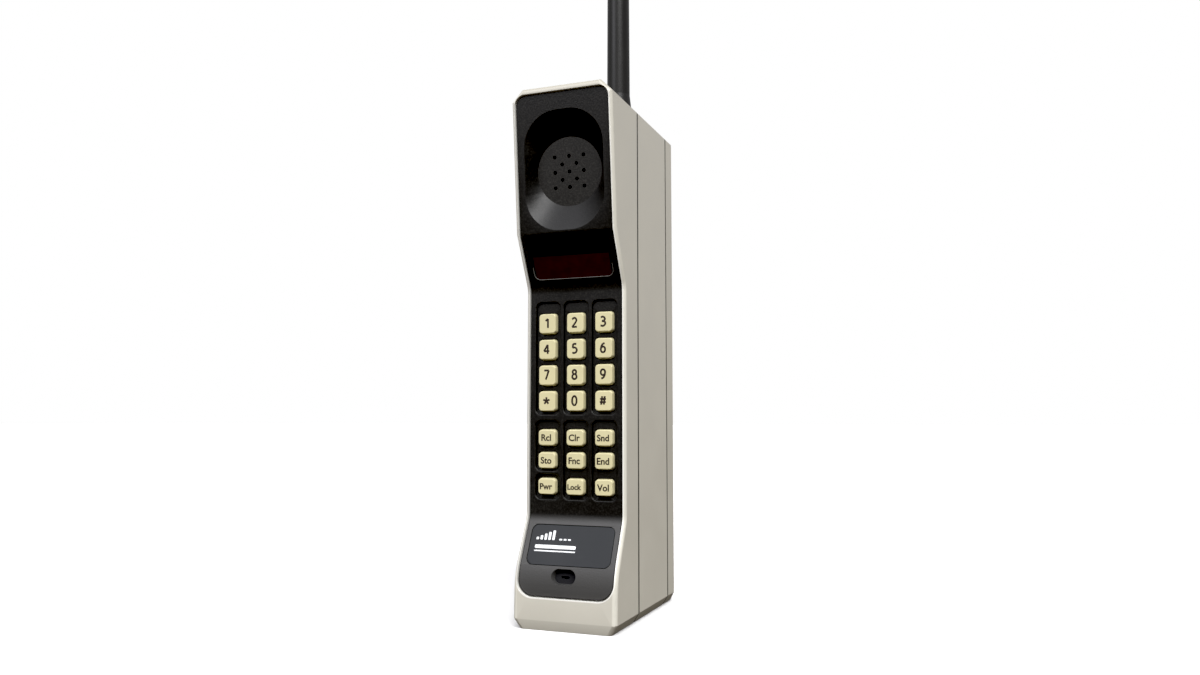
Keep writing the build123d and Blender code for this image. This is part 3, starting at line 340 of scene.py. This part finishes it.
brown_ink = ink("brown_legend_ink", (0.020, 0.011, 0.006), 0.45)
white_ink = ink("white_print_ink", (0.74, 0.76, 0.78), 0.42)

# These nodes look unlike the rest of their slot
own_finish = {
    "earpiece_grille": grained("grille", shade(BLACK, 2.2), 0.45, 1600.0, 0.00008, 0.7, 0.1, 2.0, 0.4),
    "rear_housing": grained("ivory_rear", IVORY, 0.42, 2200.0, 0.00003, 0.25, 0.02, painted_light=rear_painted_shade),
    "battery_latch": grained("latch_plastic", (0.050, 0.048, 0.044), 0.42, 1600.0, 0.00004, 0.4),
    # The mic capsule and its boot are near-black, so the floor of the mic slot is dark.
    "mic_capsule": grained("mic_capsule_near_black", (0.008, 0.008, 0.010), 0.9, 1200.0, 0.00006, 0.8),
    "mic_boot": grained("mic_boot_near_black", (0.008, 0.008, 0.010), 0.9, 1200.0, 0.00006, 0.8),
}
for name, node in nodes.items():
    node.data.materials.clear()
    node.data.materials.append(own_finish.get(name, finish[slot_of[name]]))


# ---- soft moulded edges on the CAD pieces ---------------------------------
def soften(name, width, segments=2, angle=24.0):
    """Rounds a CAD node's hard edges by a hair, as moulding and handling do."""
    node = nodes[name]
    mesh = node.data
    if "custom_normal" in mesh.attributes:
        mesh.attributes.remove(mesh.attributes["custom_normal"])
    if "sharp_edge" in mesh.attributes:
        mesh.attributes.remove(mesh.attributes["sharp_edge"])
    mesh.polygons.foreach_set("use_smooth", [True] * len(mesh.polygons))
    weld = node.modifiers.new("weld", "WELD")
    weld.merge_threshold = 0.000003
    edge = node.modifiers.new("edge", "BEVEL")
    edge.width = width
    edge.segments = segments
    edge.limit_method = "ANGLE"
    edge.angle_limit = math.radians(angle)
    edge.miter_outer = "MITER_ARC"
    normal = node.modifiers.new("normal", "WEIGHTED_NORMAL")
    normal.weight = 80
    normal.keep_sharp = False


SOFTENED = {
    "front_housing": 0.22,
    "rear_housing": 0.16,
    "battery_cover": 0.16,
    "front_panel": 0.12,
    "label_plate": 0.12,
    "display_lens": 0.08,
    "battery_latch": 0.12,
    "battery_tray": 0.12,
    "back_plate": 0.10,
    "pack_rails": 0.12,
    "contact_block": 0.12,
    "base_connector": 0.12,
}
for name, width in SOFTENED.items():
    soften(name, width * MM)
for name in nodes:
    if name.startswith("key_") and name != "key_mat":
        soften(name, 0.10 * MM)


# ---- printed legends ------------------------------------------------------
def facing_front(middle, size):
    """Maps flat drawing in x and y to the front: centred on a point, scaled, standing up."""
    turn = Matrix.Rotation(math.radians(90), 4, "X")
    return Matrix.Translation(middle) @ turn @ Matrix.Diagonal((*size, 1.0))


def text_piece(name, words, body, middle, height, weight):
    """Flat lettering facing the front, its capitals the given height, centred on a point."""
    curve = bpy.data.curves.new(name, "FONT")
    curve.body = words
    curve.align_x = "CENTER"
    curve.align_y = "CENTER"
    piece = bpy.data.objects.new(name, curve)
    bpy.context.scene.collection.objects.link(piece)
    bpy.context.view_layer.update()
    low, high = (Vector(piece.bound_box[i]) for i in (0, 6))
    scale = height / (high.y - low.y)
    curve.offset = weight / scale
    curve.extrude = 0.02 * MM / scale
    curve.resolution_u = 6
    curve.materials.append(brown_ink)
    centre = (low + high) / 2
    piece.matrix_world = facing_front(middle, (scale, scale, scale)) @ Matrix.Translation(-centre)
    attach(piece, body)


def ring(x, y, wide, tall):
    """Points round an oval, for a closed pen stroke."""
    turns = [math.radians(45 * i) for i in range(8)]
    return [(x + wide * math.cos(t), y + tall * math.sin(t)) for t in turns]


# Each stroke is (kind, points) in a box one high: straight runs, a smooth line, or a closed oval
SIX = [
    ("smooth", [(0.50, 0.99), (0.28, 0.90), (0.11, 0.64), (0.05, 0.31)]),
    ("closed", ring(0.30, 0.31, 0.25, 0.31)),
]
STROKES = {
    "1": [("straight", [(0.08, 0.78), (0.36, 1.0), (0.36, 0.0)])],
    "2": [
        ("smooth", [(0.03, 0.84), (0.26, 1.0), (0.52, 0.77), (0.42, 0.50), (0.03, 0.0)]),
        ("straight", [(0.03, 0.0), (0.58, 0.0)]),
    ],
    "3": [
        ("smooth", [(0.05, 0.93), (0.28, 1.0), (0.51, 0.77), (0.40, 0.57), (0.18, 0.53)]),
        ("smooth", [(0.18, 0.53), (0.46, 0.46), (0.56, 0.26), (0.42, 0.04), (0.20, 0.0), (0.02, 0.06)]),
    ],
    "4": [("straight", [(0.45, 0.0), (0.45, 1.0), (0.00, 0.29), (0.64, 0.29)])],
    "5": [
        ("straight", [(0.50, 1.0), (0.12, 1.0), (0.09, 0.57)]),
        ("smooth", [(0.09, 0.57), (0.30, 0.61), (0.54, 0.42), (0.50, 0.14), (0.24, 0.0), (0.03, 0.06)]),
    ],
    "6": SIX,
    "7": [("straight", [(0.03, 1.0), (0.58, 1.0), (0.22, 0.0)])],
    "8": [("closed", ring(0.30, 0.77, 0.20, 0.23)), ("closed", ring(0.30, 0.27, 0.25, 0.27))],
    "9": [(kind, [(0.60 - x, 1.0 - y) for x, y in points]) for kind, points in SIX],
    "0": [("closed", ring(0.30, 0.5, 0.26, 0.5))],
    "*": [
        ("straight", [(0.3, 0.5), (0.3 + 0.40 * math.cos(t), 0.5 + 0.40 * math.sin(t))])
        for t in (math.radians(90 + 72 * i) for i in range(5))
    ],
    "#": [
        ("straight", [(0.12, 0.05), (0.24, 0.95)]),
        ("straight", [(0.42, 0.05), (0.54, 0.95)]),
        ("straight", [(0.00, 0.66), (0.68, 0.66)]),
        ("straight", [(-0.02, 0.33), (0.66, 0.33)]),
    ],
}


def pen_piece(name, glyph, body, middle, height, pen):
    """A numeral drawn with a round pen, pressed flat on the key."""
    curve = bpy.data.curves.new(name, "CURVE")
    curve.dimensions = "3D"
    curve.bevel_depth = pen / 2
    curve.bevel_resolution = 2
    curve.use_fill_caps = True
    curve.resolution_u = 6
    flat = [point for _, points in STROKES[glyph] for point in points]
    shift = (max(x for x, _ in flat) + min(x for x, _ in flat)) / 2
    rise = height - pen
    runs = []
    for kind, points in STROKES[glyph]:
        runs += [(kind, pair) for pair in zip(points, points[1:])] if kind == "straight" else [(kind, points)]
    for kind, points in runs:
        line = curve.splines.new("BEZIER")
        line.bezier_points.add(len(points) - 1)
        line.use_cyclic_u = kind == "closed"
        for dot, (x, y) in zip(line.bezier_points, points):
            dot.co = ((x - shift) * rise, (y - 0.5) * rise, 0)
            dot.handle_left_type = dot.handle_right_type = "VECTOR" if kind == "straight" else "AUTO"
    curve.materials.append(brown_ink)
    piece = bpy.data.objects.new(name, curve)
    bpy.context.scene.collection.objects.link(piece)
    piece.matrix_world = facing_front(middle, (1.0, 1.0, 0.16))
    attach(piece, body)


NUMERAL_H = 4.6 * MM
NUMERAL_PEN = 0.82 * MM
WORD_H = 2.6 * MM
WIDE_WORD_H = {"Lock": 2.1 * MM, "Pwr": 2.4 * MM}  # wide words are lower, so that they fit on the key
WORD_WEIGHT = 0.085 * MM
LEGENDS = {
    "key_1": "1", "key_2": "2", "key_3": "3", "key_4": "4", "key_5": "5", "key_6": "6",
    "key_7": "7", "key_8": "8", "key_9": "9", "key_star": "*", "key_0": "0", "key_hash": "#",
    "key_recall": "Rcl", "key_clear": "Clr", "key_send": "Snd",
    "key_store": "Sto", "key_function": "Fnc", "key_end": "End",
    "key_power": "Pwr", "key_lock": "Lock", "key_volume": "Vol",
}
for key, words in LEGENDS.items():
    low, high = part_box(key)
    middle = Vector(((low.x + high.x) / 2, low.y, (low.z + high.z) / 2))
    if len(words) == 1:
        middle += Vector((-0.25, 0, 0.15)) * MM
        pen_piece("legend_" + key[4:], words, key + "_body", middle, NUMERAL_H, NUMERAL_PEN)
    else:
        middle += Vector((-0.25, -0.03, 0)) * MM
        tall = WIDE_WORD_H.get(words, WORD_H)
        text_piece("legend_" + key[4:], words, key + "_body", middle, tall, WORD_WEIGHT)


# ---- plain printed marks on the label plate --------------------------------
def front_of(name):
    """Middle of a node's largest front face, its up direction and its outward normal."""
    faces = [f for f in nodes[name].data.polygons if f.normal.y < -0.5]
    best = max(faces, key=lambda f: f.area).normal
    level = [f for f in faces if f.normal.dot(best) > 0.999]
    middle = sum((f.center * f.area for f in level), Vector()) / sum(f.area for f in level)
    return middle, Vector((1, 0, 0)).cross(-best).normalized(), best.normalized()


def mark_piece(name, node, body, marks, mat):
    """Thin raised print: rectangles as (left, foot, width, height) in mm from the plate's middle."""
    middle, up, out = front_of(node)
    across = Vector((1, 0, 0))
    bm = bmesh.new()
    for left, foot, wide, tall in marks:
        r = min(wide, tall) * 0.28
        ring_points = []
        for cx, cy, start in ((wide - r, tall - r, 0), (r, tall - r, 90), (r, r, 180), (wide - r, r, 270)):
            for i in range(5):
                t = math.radians(start + 22.5 * i)
                ring_points.append((left + cx + r * math.cos(t), foot + cy + r * math.sin(t)))
        layers = []
        for lift in (0.0, 0.03):
            places = [middle + (across * x + up * y + out * lift) * MM for x, y in ring_points]
            layers.append([bm.verts.new(place) for place in places])
        count = len(ring_points)
        for i in range(count):
            j = (i + 1) % count
            bm.faces.new((layers[0][i], layers[0][j], layers[1][j], layers[1][i]))
        bm.faces.new(layers[1])
        bm.faces.new(layers[0][::-1])
    mesh = bpy.data.meshes.new(name)
    bm.to_mesh(mesh)
    bm.free()
    mesh.materials.append(mat)
    piece = bpy.data.objects.new(name, mesh)
    bpy.context.scene.collection.objects.link(piece)
    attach(piece, body)


def window_painted_highlight():
    """A painted highlight: a grey line along the foot and lower corners of the display window."""
    middle, up, out = front_of("display_lens")
    _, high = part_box("display_lens")
    half = high.x - 0.02 * MM
    corner = 2.8 * MM
    to_foot = max((middle - v.co).dot(up) for v in nodes["display_lens"].data.vertices)
    drop = to_foot - 0.02 * MM
    path = [(-half, -drop + 2.0 * corner), (-half, -drop + corner)]
    for side, start in ((-1, 180), (1, 270)):
        for i in range(7):
            t = math.radians(start + 15 * i)
            centre = side * (half - corner)
            path.append((centre + corner * math.cos(t), -drop + corner + corner * math.sin(t)))
    path.append((half, -drop + 2.0 * corner))
    curve = bpy.data.curves.new("window_painted_highlight", "CURVE")
    curve.dimensions = "3D"
    curve.bevel_depth = 0.11 * MM
    curve.use_fill_caps = True
    line = curve.splines.new("POLY")
    line.points.add(len(path) - 1)
    for dot, (x, y) in zip(line.points, path):
        dot.co = (*(middle + Vector((x, 0, 0)) + up * y + out * 0.05 * MM), 1.0)
    # The line's grey is a painted highlight on the lip at the window's foot.
    curve.materials.append(grained("painted_edge_highlight", (0.20, 0.20, 0.195), 0.45))
    piece = bpy.data.objects.new("window_painted_highlight", curve)
    bpy.context.scene.collection.objects.link(piece)
    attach(piece, "handset")


window_painted_highlight()

signal_bars = [(-15.6 + 1.75 * i, 2.0, 1.15, 1.1 + 0.75 * i) for i in range(5)]
dashes = [(-5.4 + 1.9 * i, 2.0, 1.3, 0.7) for i in range(3)]
stripes = [(-15.6, -1.6, 18.0, 1.5), (-15.6, -2.9, 18.0, 0.55)]
mark_piece("label_marks", "label_plate", "handset", signal_bars + dashes + stripes, white_ink)


# ---- stage ----------------------------------------------------------------
def plane(name, size, z, mat):
    mesh = bpy.data.meshes.new(name)
    s = size / 2
    mesh.from_pydata([(-s, -s, z), (s, -s, z), (s, s, z), (-s, s, z)], [], [(0, 1, 2, 3)])
    obj = bpy.data.objects.new(name, mesh)
    bpy.context.scene.collection.objects.link(obj)
    mesh.materials.append(mat)
    return obj


def seen_and_bounced(tree, seen, bounced, output):
    """Shows one shader to the eye and another, dimmer one to the light that bounces about."""
    both = tree.nodes.new("ShaderNodeMixShader")
    tree.links.new(tree.nodes.new("ShaderNodeLightPath").outputs["Is Camera Ray"], both.inputs["Fac"])
    tree.links.new(bounced, both.inputs[1])
    tree.links.new(seen, both.inputs[2])
    tree.links.new(both.outputs[0], tree.nodes[output].inputs["Surface"])


paper, tree, shader = material("paper_floor")
shader.inputs["Base Color"].default_value = (0.93, 0.93, 0.93, 1)
shader.inputs["Roughness"].default_value = 0.9
shader.inputs["Specular IOR Level"].default_value = 0.0
dim = tree.nodes.new("ShaderNodeBsdfDiffuse")
dim.inputs["Color"].default_value = (0.09, 0.075, 0.055, 1)
seen_and_bounced(tree, shader.outputs[0], dim.outputs[0], "Material Output")
floor = plane("floor", 30.0, -0.0001, paper)

# The room is dim near the horizon and bright overhead; behind the object it is plain white
world = bpy.data.worlds.new("studio")
bpy.context.scene.world = world
world.use_nodes = True
sky = world.node_tree
lit = sky.nodes["Background"]
up = split(sky, sky.nodes.new("ShaderNodeTexCoord").outputs["Generated"])[2]
sky.links.new(mix(sky, remap(sky, up, 0.0, 0.8), (0.42, 0.41, 0.40), (1.0, 1.0, 1.03)), lit.inputs["Color"])
lit.inputs["Strength"].default_value = 0.88
seen = sky.nodes.new("ShaderNodeBackground")
seen.inputs["Color"].default_value = (1, 1, 1, 1)
seen_and_bounced(sky, seen.outputs[0], lit.outputs[0], "World Output")

# One broad soft light, high in front of the object and to its right
sun = bpy.data.lights.new("soft_key", "SUN")
sun.energy = 2.9
sun.angle = math.radians(34)
key = bpy.data.objects.new("soft_key", sun)
bpy.context.scene.collection.objects.link(key)
key.rotation_euler = Vector((0.40, -0.55, 0.73)).to_track_quat("Z", "Y").to_euler()

# A small soft box, high on the left, gives the black lower slope a sheen, on top of the painted sheen in the
# panel's colour
box = bpy.data.lights.new("soft_box", "AREA")
box.energy = 3.6
box.color = (0.98, 0.98, 1.04)
box.size = 0.5
sheen = bpy.data.objects.new("soft_box", box)
bpy.context.scene.collection.objects.link(sheen)
sheen.location = (-0.47, -0.86, 0.77)
towards = sheen.location - Vector((0.0, -0.035, 0.032))
sheen.rotation_euler = towards.to_track_quat("Z", "Y").to_euler()

# ---- camera at the photograph's angle -------------------------------------
camera = bpy.data.objects.new("camera", bpy.data.cameras.new("camera"))
bpy.context.scene.collection.objects.link(camera)
camera.data.sensor_width = 36.0
camera.data.lens = 27.9
camera.location = (0.1478, -0.38265, 0.08325)
camera.rotation_euler = (math.radians(95.06), 0.0, math.radians(21.05))
bpy.context.scene.camera = camera
look = bpy.context.scene.view_settings
look.view_transform = "Standard"
look.use_curve_mapping = True
look.curve_mapping.black_level = (0.012, 0.012, 0.012)
look.curve_mapping.update()
